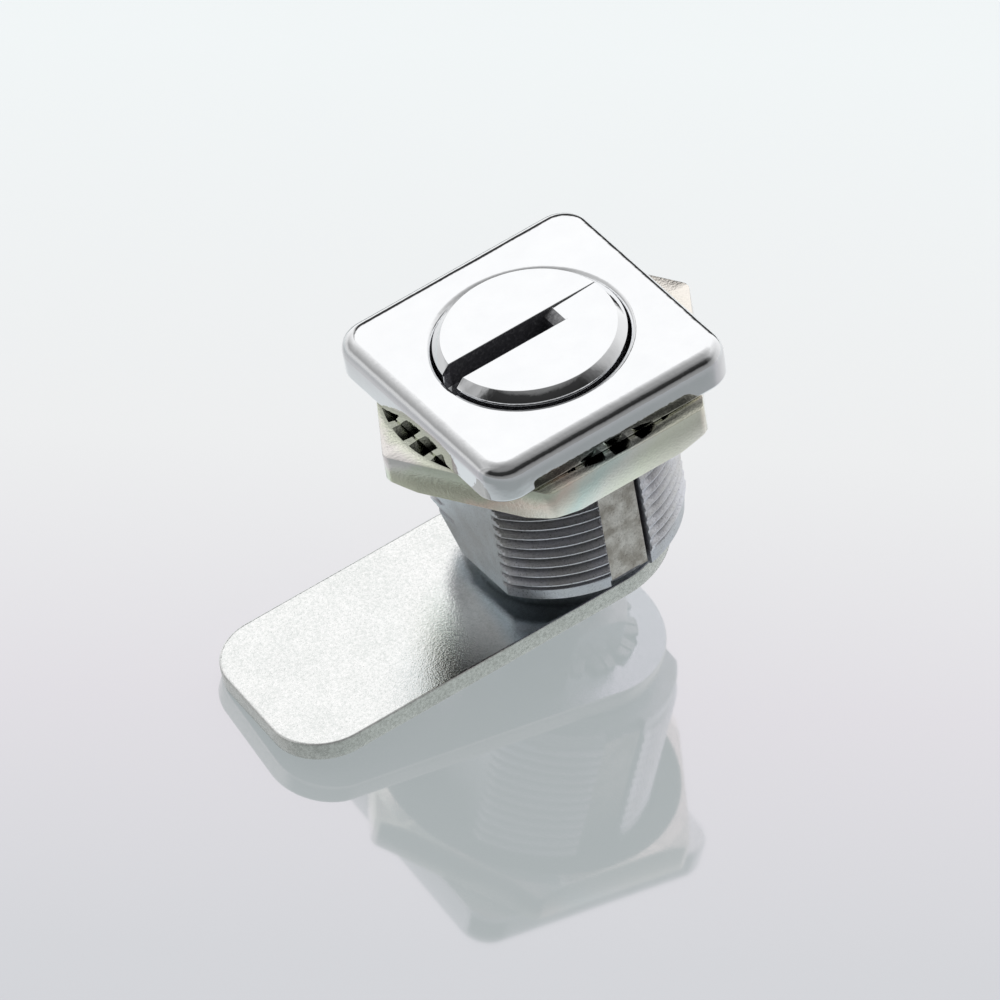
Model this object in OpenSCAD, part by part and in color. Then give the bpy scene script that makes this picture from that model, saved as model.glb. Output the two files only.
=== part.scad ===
// Quarter-turn cabinet lock: square chromed head, threaded body with two flats,
// toothed fixing nut and a flat cam that is turned with a coin or a wide screwdriver.
// The origin is on the lock's axis at the underside of the head, where the panel's face lies.
// +Z points out of the panel to the user and +X along the cam in its locked position.

/* [Head] */
// Side of the square head
head_w = 21.9; // [20.4:0.1:26]
// Height of the head above the panel
head_h = 3.1; // [3:0.1:5]
// Radius of the head's four upright corners
head_corner_r = 2.5; // [2.2:0.1:4]
// Radius of the soft edge round the top of the head
head_edge_r = 1.2; // [0.6:0.1:2.1]
// Radius of the small edge round the foot of the head
head_foot_r = 0.3; // [0.1:0.05:0.6]
// Width of the open ring between the dial and the head
pocket_gap = 0.2; // [0.05:0.05:0.3]
// Radius of the rounded mouth of the hole for the dial
mouth_r = 0.4; // [0.1:0.05:0.8]
// Thickness of the head's floor under the dial
floor_t = 0.6; // [0.4:0.1:1]

/* [Threaded body] */
// Length of the body below the head
body_len = 14.9; // [12:0.1:30]
// Diameter over the thread
thread_d = 19; // [18:0.1:20]
// Pitch of the thread, drawn as rings
thread_pitch = 0.95; // [0.75:0.05:1.5]
// Depth of the thread
thread_depth = 0.55; // [0.3:0.05:0.8]
// Distance across the two flats that stop the body from turning in the panel
flat_across = 16; // [14.8:0.1:18]
// Height of the plain band, up to the middle of the thread's first groove
band_h = 1.3; // [0.8:0.05:2]
// How far the plain band lies inside the thread's crests
band_step = 0.35; // [0.1:0.05:0.6]
// Chamfer at the end of the plain band
band_chamfer = 0.15; // [0.05:0.05:0.4]
// Width of the plain land along each parting line
land_w = 3.3; // [1.5:0.1:5]
// How far the lands lie inside the thread's crests
land_step = 0.45; // [0.1:0.05:0.7]
// How far the lands stop short of the body's end
land_short = 0.55; // [0.2:0.05:1]
// Depth of the recess under each land's end below the thread's crests
land_foot = 0.8; // [0.6:0.05:1.2]
// Width of the slit along one side of each land
slit_w = 0.25; // [0.1:0.05:0.4]
// Depth of that slit below the thread's crests
slit_depth = 1; // [0.6:0.05:1.3]
// Diameter of the bore for the rotor's barrel
bore_d = 11.6; // [10.5:0.1:12.2]

/* [Stop] */
// Angle that the rotor turns through
turn_angle = 90; // [45:5:100]
// Height of the relief at the body's end, in which the stop tab runs
relief_h = 3.05; // [2.4:0.05:4]
// How far the relief's wall lies inside the thread's crests
relief_step = 1.6; // [1.4:0.05:1.7]
// Where the relief's slanted end meets the body's end, measured across the flat
relief_foot = 1.4; // [1:0.1:2]
// How far that end leans, from the body's end to the relief's top
relief_slant = 2.9; // [2:0.1:3.2]
// Thickness of the stop washer
stop_t = 1.2; // [0.8:0.1:2]
// Diameter of the stop washer's disc
stop_d = 14.4; // [12.8:0.1:15]
// Width of the tab bent up from the stop washer
tab_w = 2.2; // [1.5:0.1:2.6]
// How far the tab reaches up beside the body
tab_rise = 1.8; // [1:0.1:2]
// Angle of the tab, measured from the cam
tab_angle = -122; // [-126:1:-122]

/* [Rotor] */
// Diameter of the dial's flat face
dial_d = 13.3; // [12:0.1:13.4]
// How far the dial's face stands above the head
dial_rise = 0.92; // [0.7:0.02:2]
// Bevel round the dial's face
dial_bevel = 0.65; // [0.3:0.05:1]
// Width of the coin slot
slot_w = 1.9; // [1.2:0.1:3]
// Depth of the coin slot
slot_depth = 2.2; // [1.4:0.1:2.6]
// How far the coin slot runs past the lock's axis
slot_past = 2.75; // [1:0.05:4]
// Length of the slope at the slot's blind end
slot_slope = 0.8; // [0.2:0.1:2]
// Depth of the pointer mark that carries on from the slot to the rim
mark_depth = 0.16; // [0.1:0.02:0.5]
// Side of the square that drives the stop washer and the cam
square_w = 8; // [6.5:0.1:8]

/* [Seal] */
// Thickness of the seal ring's cord
seal_d = 1.5; // [1:0.05:1.8]
// Width of the groove that holds the seal
groove_w = 2; // [1.9:0.05:3]
// Depth of the groove's middle below the panel's face
groove_down = 3; // [2.2:0.1:8]

/* [Nut] */
// Distance across the nut's flats
nut_af = 24; // [23:0.5:30]
// Thickness of the nut
nut_h = 3; // [2:0.1:5]
// Number of teeth on the nut's face
teeth = 30; // [12:1:36]
// Depth of the notches between the teeth
tooth_depth = 0.75; // [0.3:0.05:1.2]
// Width of each notch at the nut's face
notch_w = 1.6; // [0.8:0.1:1.6]
// Ring of plain face left outside the teeth, measured in from the flats
teeth_margin = 0.25; // [0.1:0.05:0.6]
// Height cut off the nut's lower corners by their chamfer
nut_chamfer_h = 0.6; // [0.2:0.1:1]

/* [Cam] */
// Width of the cam
cam_w = 15.6; // [13:0.1:20]
// Distance from the lock's axis to the middle of the cam's tip
cam_reach = 28.4; // [16:0.2:60]
// Angle by which the tip leans from square to the cam's sides
tip_slant = 4; // [0:1:8]
// Thickness of the cam
cam_t = 1.6; // [1:0.1:3]
// Radius of the two corners at the cam's tip
cam_corner_r = 4.4; // [1:0.1:6]

/* [Cam fastening] */
// Diameter of the screw's thread
screw_d = 5; // [4:0.5:5]
// Length of the screw below its head
screw_len = 9.6; // [6:0.2:11]
// Distance across the flats of the screw's head
screw_af = 8; // [7:0.5:10]
// Height of the screw's head
screw_head_h = 2.9; // [2:0.1:5]
// Outer diameter of the toothed washer
washer_d = 11; // [10:0.1:13]
// Thickness of the toothed washer
washer_t = 0.6; // [0.4:0.1:1.5]
// Height of the bevel round the screw head's free end
screw_bevel_h = 0.35; // [0.1:0.05:0.6]
// Number of teeth round the toothed washer
washer_teeth = 12; // [8:1:16]
// Depth of the notches between its teeth
washer_notch = 1.1; // [0.5:0.1:1.4]

/* [Clearances] */
// Radial clearance of parts that turn or slide in each other
running_gap = 0.05; // [0.02:0.01:0.1]
// Clearance between faces that meet without pressure
face_gap = 0.05; // [0.02:0.01:0.1]
// Play of a square hole over its square, all in all
square_play = 0.1; // [0.04:0.02:0.2]
// Clearance between the stop tab and the body
tab_gap = 0.1; // [0.05:0.05:0.2]
// Play of the seal in its groove
seal_gap = 0.02; // [0.01:0.01:0.04]

/* [Hidden] */

$fn = 96;
over = 1; // how far a cutter reaches past the face that it cuts

thread_r = thread_d / 2;
band_r = thread_r - band_step;
land_r = thread_r - land_step;
relief_r = thread_r - relief_step;
bore_r = bore_d / 2;
barrel_r = bore_r - running_gap;

// levels along the axis, from the user's side down
dial_top = head_h + dial_rise;
dial_r = dial_d / 2;
flange_r = dial_r + dial_bevel;
pocket_r = flange_r + pocket_gap;
dial_seat = floor_t + face_gap;
thread_end = -body_len + band_h;
stop_top = -body_len - face_gap;
cam_top = stop_top - stop_t;
cam_bottom = cam_top - cam_t;
washer_bottom = cam_bottom - washer_t;
square_end = cam_bottom + 2 * face_gap;
nut_top = -face_gap;
nut_bottom = nut_top - nut_h;

// the relief starts just before the tab's place in the locked position and its slanted
// end lies on the flat when the rotor turns by a right angle
stop_margin = 1; // spare angle before the tab in the locked position
tab_half_angle = atan(tab_w / 2 / (relief_r + tab_gap));
relief_start = tab_angle - tab_half_angle - stop_margin;
relief_end_turn = turn_angle - 90;

head_inset = head_w / 2 - head_corner_r;

// One side of the head in section, from the corner's centre outwards
module head_edge_profile() {
    intersection() {
        square([head_corner_r, head_h]);
        union() {
            square([head_corner_r - head_foot_r, head_h - head_edge_r]);
            translate([0, head_foot_r]) square([head_corner_r, head_h - head_edge_r - head_foot_r]);
            translate([head_corner_r - head_foot_r, head_foot_r]) circle(head_foot_r);
            translate([head_corner_r - head_edge_r, head_h - head_edge_r]) circle(head_edge_r);
        }
    }
}

// The square head: one edge section turned round each corner and run along each side,
// about a block that holds its flat top
module head_block() {
    flat_half = head_w / 2 - head_edge_r;
    for (sx = [-1, 1], sy = [-1, 1])
        translate([sx * head_inset, sy * head_inset, 0]) {
            rotate_extrude() head_edge_profile();
            cylinder(r = head_corner_r - head_edge_r, h = head_h);
        }
    for (a = [0, 90, 180, 270])
        rotate([0, 0, a]) translate([head_inset, head_inset, 0])
            rotate([90, 0, 0]) linear_extrude(2 * head_inset) head_edge_profile();
    translate([-flat_half, -head_inset, 0]) cube([2 * flat_half, 2 * head_inset, head_h]);
    translate([-head_inset, -flat_half, 0]) cube([2 * head_inset, 2 * flat_half, head_h]);
}

// Section of the turned body: a chamfered plain band with one V groove for each pitch above it
module body_profile() {
    rings = floor((-thread_end - thread_pitch / 2) / thread_pitch);
    root_half = thread_pitch / 8;
    mouth_half = root_half + (thread_depth + over) * tan(30);
    difference() {
        polygon([[0, -body_len], [band_r - band_chamfer, -body_len], [band_r, -body_len + band_chamfer],
                 [band_r, thread_end], [thread_r, thread_end], [thread_r, over], [0, over]]);
        for (i = [0 : rings])
            translate([thread_r, thread_end + thread_pitch * i])
                polygon([[-thread_depth, -root_half], [over, -mouth_half],
                         [over, mouth_half], [-thread_depth, root_half]]);
    }
}

// Space cut away round the body's end for the stop tab: a ring sector whose far end is slanted
module stop_relief() {
    difference() {
        rotate([0, 0, relief_start]) rotate_extrude(angle = relief_end_turn - relief_start)
            translate([relief_r, -body_len - over]) square([thread_r, relief_h + over]);
        rotate([0, 0, relief_end_turn]) rotate([90, 0, 90]) linear_extrude(thread_d)
            polygon([[thread_d, -body_len - 2 * over], [thread_d, over],
                     [-relief_foot - relief_slant, over],
                     [-relief_foot - relief_slant, -body_len + relief_h],
                     [-relief_foot, -body_len], [-relief_foot, -body_len - 2 * over]]);
    }
}

// Recesses that set each land's end off from the body's end
module land_feet() {
    for (a = [0, 180])
        rotate([0, 0, a])
            translate([-land_w / 2 - slit_w, thread_r - land_foot, -body_len - over])
                cube([land_w + slit_w, land_foot + over, over + land_short]);
}

// Narrow slits that run along one side of each land
module land_slits() {
    for (a = [0, 180])
        rotate([0, 0, a])
            translate([-land_w / 2 - slit_w, thread_r - slit_depth, -body_len - over])
                cube([slit_w, slit_depth + over, body_len + over]);
}

// Casting of head and body in one piece
module housing() {
    color("gainsboro") difference() {
        union() {
            head_block();
            intersection() {
                union() {
                    difference() {
                        rotate_extrude() body_profile();
                        for (sy = [-1, 1])
                            translate([-land_w / 2, sy > 0 ? land_r : -land_r - over, thread_end])
                                cube([land_w, over, -thread_end]);
                        land_slits();
                        land_feet();
                    }
                    translate([-land_w / 2, -land_r, -body_len + land_short])
                        cube([land_w, 2 * land_r, body_len - land_short + over / 2]);
                }
                translate([-flat_across / 2, -thread_r, -body_len])
                    cube([flat_across, thread_d, body_len + over]);
            }
        }
        stop_relief();
        translate([0, 0, -body_len - over]) cylinder(r = bore_r, h = body_len + head_h + 2 * over);
        translate([0, 0, floor_t]) cylinder(r = pocket_r, h = head_h);
        rotate_extrude() difference() {
            translate([pocket_r - over, head_h - mouth_r]) square([mouth_r + over, mouth_r + over]);
            translate([pocket_r + mouth_r, head_h - mouth_r]) circle(mouth_r);
        }
    }
}

// Dial, barrel and driving square, turned and milled from one bar
module rotor() {
    groove_top = -groove_down + groove_w / 2;
    groove_r = bore_r - seal_d - 2 * seal_gap;
    color("silver") difference() {
        union() {
            rotate_extrude()
                polygon([[0, stop_top], [barrel_r, stop_top],
                         [barrel_r, groove_top - groove_w], [groove_r, groove_top - groove_w],
                         [groove_r, groove_top], [barrel_r, groove_top],
                         [barrel_r, dial_seat], [flange_r, dial_seat],
                         [flange_r, dial_top - dial_bevel], [dial_r, dial_top], [0, dial_top]]);
            translate([-square_w / 2, -square_w / 2, square_end])
                cube([square_w, square_w, stop_top - square_end + over]);
        }
        // coin slot, open at the rim towards the cam and sloped at its blind end
        translate([0, slot_w / 2, 0]) rotate([90, 0, 0]) linear_extrude(slot_w)
            polygon([[-slot_past, dial_top + over], [-slot_past, dial_top],
                     [-slot_past + slot_slope, dial_top - slot_depth],
                     [flange_r + over, dial_top - slot_depth], [flange_r + over, dial_top + over]]);
        // pointer mark
        translate([-flange_r - over, -slot_w / 2, dial_top - mark_depth])
            cube([flange_r + over, slot_w, mark_depth + over]);
        // bore for the cam screw
        translate([0, 0, square_end - over])
            cylinder(d = screw_d, h = screw_len + over + washer_t);
    }
}

// Round seal ring in the rotor's groove
module rotor_seal() {
    color("dimgray") translate([0, 0, -groove_down]) rotate_extrude()
        translate([bore_r - seal_gap - seal_d / 2, 0]) circle(d = seal_d);
}

// Hexagon nut whose face has radial notches that bite into the panel
module hex_nut() {
    corner_r = nut_af / 2 / cos(30);
    foot_r = corner_r - nut_chamfer_h / tan(30);
    color("darkkhaki") difference() {
        intersection() {
            translate([0, 0, nut_bottom]) cylinder(r = corner_r, h = nut_h, $fn = 6);
            rotate_extrude()
                polygon([[0, nut_bottom], [foot_r, nut_bottom], [corner_r, nut_bottom + nut_chamfer_h],
                         [corner_r, nut_top], [0, nut_top]]);
        }
        translate([0, 0, nut_bottom - over]) cylinder(r = thread_r + running_gap, h = nut_h + 2 * over);
        intersection() {
            translate([0, 0, nut_top - tooth_depth])
                cylinder(r = nut_af / 2 - teeth_margin, h = tooth_depth + over);
            for (i = [0 : teeth - 1])
                rotate([0, 0, (i + 0.5) * 360 / teeth]) translate([0, 0, nut_top])
                    rotate([90, 0, 90]) linear_extrude(nut_af)
                        polygon([[0, -tooth_depth], [notch_w, tooth_depth], [-notch_w, tooth_depth]]);
        }
    }
}

// Washer on the rotor's square whose tab meets the ends of the relief and so limits the turn
module stop_washer() {
    tab_h = stop_t + face_gap + tab_rise;
    color("darkgray") difference() {
        union() {
            translate([0, 0, cam_top]) cylinder(d = stop_d, h = stop_t);
            intersection() {
                rotate([0, 0, tab_angle]) translate([0, -tab_w / 2, cam_top]) {
                    cube([thread_r, tab_w, stop_t]);
                    translate([relief_r + tab_gap, 0, 0]) cube([thread_r, tab_w, tab_h]);
                }
                translate([0, 0, cam_top]) cylinder(r = band_r, h = tab_h);
            }
        }
        square_hole(cam_top, stop_t);
    }
}

// Square hole that fits over the rotor's square
module square_hole(bottom, thickness) {
    side = square_w + square_play;
    translate([-side / 2, -side / 2, bottom - over]) cube([side, side, thickness + 2 * over]);
}

// Flat punched cam, round about the axis and with two rounded corners at its slanted tip
module cam() {
    corner_y = cam_w / 2 - cam_corner_r;
    corner_x = cam_reach - cam_corner_r / cos(tip_slant);
    lean = corner_y * tan(tip_slant);
    tip = [cam_corner_r * cos(tip_slant), -cam_corner_r * sin(tip_slant)];
    color("lightgray") difference() {
        translate([0, 0, cam_bottom]) linear_extrude(cam_t) {
            circle(d = cam_w);
            for (sy = [-1, 1])
                translate([corner_x + sy * lean, sy * corner_y]) circle(cam_corner_r);
            polygon([[0, -cam_w / 2], [corner_x - lean, -cam_w / 2],
                     [corner_x - lean, -corner_y] + tip, [corner_x + lean, corner_y] + tip,
                     [corner_x + lean, cam_w / 2], [0, cam_w / 2]]);
        }
        square_hole(cam_bottom, cam_t);
    }
}

// Washer with teeth round its rim that keeps the screw from working loose
module lock_washer() {
    color("silver") difference() {
        translate([0, 0, washer_bottom]) cylinder(d = washer_d, h = washer_t);
        translate([0, 0, washer_bottom - over])
            cylinder(r = screw_d / 2 + 2 * running_gap, h = washer_t + 2 * over);
        for (i = [0 : washer_teeth - 1])
            rotate([0, 0, (i + 0.5) * 360 / washer_teeth])
                translate([washer_d / 2, 0, washer_bottom - over]) linear_extrude(washer_t + 2 * over)
                    polygon([[-washer_notch, 0], [over, -washer_notch], [over, washer_notch]]);
    }
}

// Hexagon screw in the rotor's end that holds the cam
module cam_screw() {
    head_r = screw_af / 2 / cos(30);
    head_bottom = washer_bottom - screw_head_h;
    color("silver") {
        intersection() {
            translate([0, 0, head_bottom]) cylinder(r = head_r, h = screw_head_h, $fn = 6);
            rotate_extrude()
                polygon([[0, head_bottom], [head_r - screw_bevel_h / tan(30), head_bottom],
                         [head_r, head_bottom + screw_bevel_h], [head_r, washer_bottom],
                         [0, washer_bottom]]);
        }
        translate([0, 0, washer_bottom]) cylinder(r = screw_d / 2 - running_gap, h = screw_len);
    }
}

housing();
rotor();
rotor_seal();
hex_nut();
stop_washer();
cam();
lock_washer();
cam_screw();
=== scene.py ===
"""Quarter-turn cabinet lock in chrome and zinc plate, standing on a pale glossy table.

Lengths are in millimetres until a piece is skinned, and the frame is the model's own:
the origin on the lock's axis at the panel's face, +Z to the user and +X along the cam.
"""
import math

import bmesh
import bpy
import numpy as np
from mathutils import Matrix, Vector


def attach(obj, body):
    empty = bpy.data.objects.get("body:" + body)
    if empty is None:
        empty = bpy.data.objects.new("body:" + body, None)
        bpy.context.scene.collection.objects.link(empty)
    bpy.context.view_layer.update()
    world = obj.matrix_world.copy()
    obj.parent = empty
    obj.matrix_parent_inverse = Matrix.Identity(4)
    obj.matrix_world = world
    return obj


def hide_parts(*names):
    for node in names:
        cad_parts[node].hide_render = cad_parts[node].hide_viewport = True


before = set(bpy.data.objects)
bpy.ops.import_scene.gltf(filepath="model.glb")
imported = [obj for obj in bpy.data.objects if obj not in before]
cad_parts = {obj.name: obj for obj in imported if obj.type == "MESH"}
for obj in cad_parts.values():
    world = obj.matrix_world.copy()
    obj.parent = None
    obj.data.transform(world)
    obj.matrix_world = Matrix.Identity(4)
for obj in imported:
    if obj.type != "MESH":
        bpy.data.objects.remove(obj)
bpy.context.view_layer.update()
MM = 0.001

# ---------------------------------------------------------------- camera
# place, tilt and lens were worked out from the straight edges and the round dial in the picture
CAMERA_PLACE = (0.58084, 1.12364, 1.14005)
AZIMUTH, ELEVATION, ROLL = map(math.radians, (62.863, 42.332, -10.581))
LENS, SENSOR, CLIP_END = 829.08, 36, 20
TO_CAMERA = Vector((math.cos(ELEVATION) * math.cos(AZIMUTH), math.cos(ELEVATION) * math.sin(AZIMUTH),
                    math.sin(ELEVATION)))


def place_camera():
    """Looks against TO_CAMERA: the picture's right is level, then rolled about that line."""
    level = Vector((-math.sin(AZIMUTH), math.cos(AZIMUTH), 0))
    up = TO_CAMERA.cross(level)
    right = level * math.cos(ROLL) + up * math.sin(ROLL)
    top = up * math.cos(ROLL) - level * math.sin(ROLL)
    data = bpy.data.cameras.new("camera")
    data.lens, data.sensor_width, data.clip_end = LENS, SENSOR, CLIP_END
    camera = bpy.data.objects.new("camera", data)
    turned = Matrix((right, top, TO_CAMERA)).transposed().to_4x4()
    camera.matrix_world = Matrix.Translation(CAMERA_PLACE) @ turned
    bpy.context.scene.collection.objects.link(camera)
    bpy.context.scene.camera = camera


place_camera()

# ---------------------------------------------------------------- skins and shapes
MERGE, COLLAPSE = 0.0008, 0.0004


def skin(name, patches, sharp=32):
    """One mesh from grids of points. A patch is (points as rows x columns x 3 in mm, closed across
    rows, closed across columns); every four neighbours are joined by a quad, and seams and poles are
    merged. Edges sharper than sharp degrees stay sharp."""
    verts, quads, start = [], [], 0
    for points, close_rows, close_cols in patches:
        rows, cols = points.shape[:2]
        index = start + np.arange(rows * cols).reshape(rows, cols)
        if close_rows:
            index = np.vstack([index, index[:1]])
        if close_cols:
            index = np.hstack([index, index[:, :1]])
        corners = [index[:-1, :-1], index[:-1, 1:], index[1:, 1:], index[1:, :-1]]
        quads.append(np.stack(corners, -1).reshape(-1, 4))
        verts.append(points.reshape(-1, 3))
        start += rows * cols
    mesh = bpy.data.meshes.new(name)
    mesh.from_pydata((np.concatenate(verts) * MM).tolist(), [], np.concatenate(quads).tolist())
    work = bmesh.new()
    work.from_mesh(mesh)
    bmesh.ops.remove_doubles(work, verts=work.verts, dist=MERGE * MM)
    bmesh.ops.dissolve_degenerate(work, edges=work.edges, dist=COLLAPSE * MM)
    bmesh.ops.recalc_face_normals(work, faces=work.faces)
    work.to_mesh(mesh)
    work.free()
    mesh.polygons.foreach_set("use_smooth", np.ones(len(mesh.polygons), bool))
    mesh.set_sharp_from_angle(angle=math.radians(sharp))
    piece = bpy.data.objects.new(name, mesh)
    bpy.context.scene.collection.objects.link(piece)
    return piece


def at(x, y, z):
    """Points from coordinates that are spread to one common shape."""
    return np.stack(np.broadcast_arrays(x, y, z), -1).astype(float)


def polar(radius, angle, z):
    """Points from distance to the axis, angle in radians and height."""
    return at(radius * np.cos(angle), radius * np.sin(angle), z)


def rings(rows, angle):
    """Stacks rings about the axis: a row is (radius, height), each a number or one value for each angle."""
    return np.stack([polar(np.asarray(r), angle, np.asarray(z) + 0 * angle) for r, z in rows])


def arc(centre, radius, start, end, count=5):
    """Pairs along a circular arc: centre + radius * (cos, sin) from start to end in degrees."""
    a = np.radians(np.linspace(start, end, count))
    return list(zip(centre[0] + radius * np.cos(a), centre[1] + radius * np.sin(a)))


def squared(half, corner, angle):
    """Distance from the axis to a square's side: half its width over the larger of |cos| and |sin|,
    kept below the distance of its blunt corner."""
    return np.minimum(half / np.maximum(np.abs(np.cos(angle)), np.abs(np.sin(angle))), corner)


def hexagon(across, angle, blunt):
    """Distance from the axis to a hexagon's side: half its width over the cosine of the angle from the
    nearest side's middle, kept below its corner by blunt. A corner points along +X."""
    side = across / 2 / np.cos(angle % (math.pi / 3) - math.pi / 6)
    return np.minimum(side, across / math.sqrt(3) - blunt)


def chamfer(across, cut, wall, face):
    """A cone of 30 degrees that takes cut off a hexagon's corners: the radius at which it leaves the
    face, and the height of the cut edge at each distance of the wall."""
    slope = math.tan(math.radians(30))
    foot = across / math.sqrt(3) - cut / slope
    return foot, face + np.maximum(0, wall - foot) * slope


# ---------------------------------------------------------------- head
HEAD_HALF, HEAD_H, CORNER_R, FOOT_R, UNDER_R = 10.95, 3.1, 2.5, 0.3, 9.0
POCKET_R, POCKET_FLOOR, POCKET_FILLET, BORE_R = 7.5, 0.6, 0.15, 5.8
MOUTH_IN, MOUTH_DOWN = 0.45, 0.3
EDGE_IN, EDGE_SOFT = 1.25, 0.3


def soft_edge(count=22, steps=400):
    """Profile of the head's polished top edge as (inset, height). Its direction turns from level to
    upright along the curve by a blend of s and s^2 (3 - 2 s), summed up and scaled to reach EDGE_IN."""
    s = np.linspace(0, 1, steps)
    turn = math.pi / 2 * (s + EDGE_SOFT * (s * s * (3 - 2 * s) - s))
    out, down = np.cumsum(np.cos(turn)), np.cumsum(np.sin(turn))
    pick = np.linspace(0, steps - 1, count).astype(int)
    scale = EDGE_IN / out[-1]
    return list(zip(EDGE_IN - out[pick] * scale, HEAD_H - down[pick] * scale))


def head():
    """Rings from the pocket's floor over its mouth, the flat top, the soft edge and the wall to the
    underside. Outer rings are a rounded square: a point of an inner square plus (corner radius - inset)
    times the outward direction. Inner rings are circles at the same polar angles."""
    corner = np.radians(np.linspace(0, 90, 17))
    side = np.linspace(-1, 1, 25)[1:-1]
    inner = HEAD_HALF - CORNER_R
    core, out = [], []
    for quarter in np.arange(4) * math.pi / 2:
        cos, sin = math.cos(quarter), math.sin(quarter)
        spin = np.array([[cos, sin], [-sin, cos]])
        core += [np.stack([inner + 0 * side, inner * side], -1) @ spin,
                 np.full((len(corner), 2), inner) @ spin]
        out += [np.stack([1 + 0 * side, 0 * side], -1) @ spin,
                np.stack([np.cos(corner), np.sin(corner)], -1) @ spin]
    core, out = np.concatenate(core), np.concatenate(out)

    def square(inset, z):
        """Ring of the rounded square, moved inwards by inset."""
        return at(*(core + (CORNER_R - inset) * out).T, z)

    rim = square(EDGE_IN, 0)
    angle = np.arctan2(rim[:, 1], rim[:, 0])
    pocket = [(BORE_R, POCKET_FLOOR), (POCKET_R - POCKET_FILLET, POCKET_FLOOR),
              (POCKET_R, POCKET_FLOOR + POCKET_FILLET)]
    pocket += [(POCKET_R + MOUTH_IN * (1 - math.cos(t)), HEAD_H - MOUTH_DOWN * (1 - math.sin(t)))
               for t in np.radians(np.linspace(0, 90, 15))]
    rows = [polar(r, angle, z) for r, z in pocket]
    flat = polar(POCKET_R + MOUTH_IN, angle, HEAD_H)
    rows += [flat + (square(EDGE_IN, HEAD_H) - flat) * t for t in (0.08, 0.3, 0.6, 0.9)]
    rows += [square(inset, z) for inset, z in soft_edge()]
    rows += [square(FOOT_R - x, z) for x, z in arc((0, FOOT_R), FOOT_R, 0, -90, 7)]
    rows += [polar(r, angle, z) for r, z in [(UNDER_R, 0), (BORE_R, 0)]]
    return skin("lock_head", [(np.stack(rows), True, True)], 40)


# ---------------------------------------------------------------- threaded body
BODY_LEN, BODY_TOP, END_BREAK, THREAD_R, PITCH, THREAD_DEPTH = 14.9, 0.25, 0.15, 9.5, 0.95, 0.55
FIRST_GROOVE, BAND_R, FLAT_X, LAND_Y, LAND_FOOT_R = -13.6, 9.15, 8.0, 9.05, 8.7
LAND_HALF, SLIT_X, SLIT_Y, LAND_END = 1.65, 1.95, 8.5, -14.25
RELIEF_R, RELIEF_TOP, RELIEF_START, RELIEF_FOOT, RELIEF_SLANT = 7.9, -11.85, -131.0, 1.4, 2.9
THREAD_ANGLE, THREAD_MIDDLE, RUN_OUT, CREST_EDGE = 62.9, 9.3, 1.2, 0.03
LEAN_FROM, LEAN_AT = 327, 342


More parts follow.
